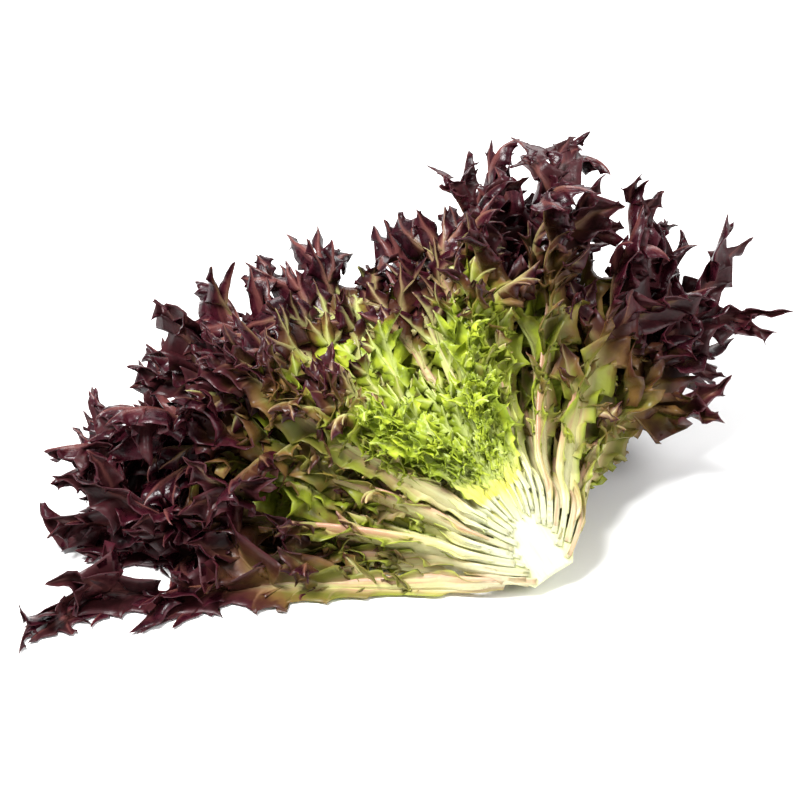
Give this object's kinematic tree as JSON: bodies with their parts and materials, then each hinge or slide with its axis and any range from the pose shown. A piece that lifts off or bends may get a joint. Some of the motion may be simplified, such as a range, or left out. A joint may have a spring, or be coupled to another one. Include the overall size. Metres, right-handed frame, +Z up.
{
  "type": "half red curly endive",
  "caption": "Half a head of red curly endive, cut lengthwise through its core, with frilled purple-tipped leaves around a lime heart, lying on its outer leaves.",
  "frame": {"origin": "on the supporting surface, under the middle of the half head's box", "axes": "+X towards the short leaves beside the butt, so the long leaves point to -X; +Y away from the cut side; +Z up from the supporting surface"},
  "size_m": [0.3064, 0.2158, 0.1285],
  "materials": {
    "core": "matte",
    "outer_leaf": "satin",
    "spreading_leaf": "satin",
    "wide_leaf": "satin",
    "upper_leaf": "satin",
    "middle_leaf": "satin",
    "cupped_leaf": "satin",
    "back_leaf": "satin",
    "inner_leaf": "satin",
    "young_leaf": "satin",
    "heart_leaf": "satin",
    "bud_leaf": "satin"
  },
  "bodies": {
    "root": {"core": "core", "outer_leaf_01": "outer_leaf", "outer_leaf_02": "outer_leaf", "outer_leaf_03": "outer_leaf", "outer_leaf_04": "outer_leaf", "outer_leaf_05": "outer_leaf", "outer_leaf_06": "outer_leaf", "spreading_leaf_01": "spreading_leaf", "spreading_leaf_02": "spreading_leaf", "spreading_leaf_03": "spreading_leaf", "spreading_leaf_04": "spreading_leaf", "spreading_leaf_05": "spreading_leaf", "wide_leaf_01": "wide_leaf", "wide_leaf_02": "wide_leaf", "wide_leaf_03": "wide_leaf", "wide_leaf_04": "wide_leaf", "wide_leaf_05": "wide_leaf", "wide_leaf_06": "wide_leaf", "upper_leaf_01": "upper_leaf", "upper_leaf_02": "upper_leaf", "upper_leaf_03": "upper_leaf", "upper_leaf_04": "upper_leaf", "upper_leaf_05": "upper_leaf", "middle_leaf_01": "middle_leaf", "middle_leaf_02": "middle_leaf", "middle_leaf_03": "middle_leaf", "middle_leaf_04": "middle_leaf", "middle_leaf_05": "middle_leaf", "middle_leaf_06": "middle_leaf", "cupped_leaf_01": "cupped_leaf", "cupped_leaf_02": "cupped_leaf", "cupped_leaf_03": "cupped_leaf", "cupped_leaf_04": "cupped_leaf", "cupped_leaf_05": "cupped_leaf", "back_leaf_01": "back_leaf", "back_leaf_02": "back_leaf", "back_leaf_03": "back_leaf", "back_leaf_04": "back_leaf", "back_leaf_05": "back_leaf", "back_leaf_06": "back_leaf", "inner_leaf_01": "inner_leaf", "inner_leaf_02": "inner_leaf", "inner_leaf_03": "inner_leaf", "inner_leaf_04": "inner_leaf", "inner_leaf_05": "inner_leaf", "young_leaf_01": "young_leaf", "young_leaf_02": "young_leaf", "young_leaf_03": "young_leaf", "young_leaf_04": "young_leaf", "heart_leaf_01": "heart_leaf", "heart_leaf_02": "heart_leaf", "heart_leaf_03": "heart_leaf", "heart_leaf_04": "heart_leaf", "bud_leaf_01": "bud_leaf", "bud_leaf_02": "bud_leaf", "bud_leaf_03": "bud_leaf"}
  },
  "joints": []
}
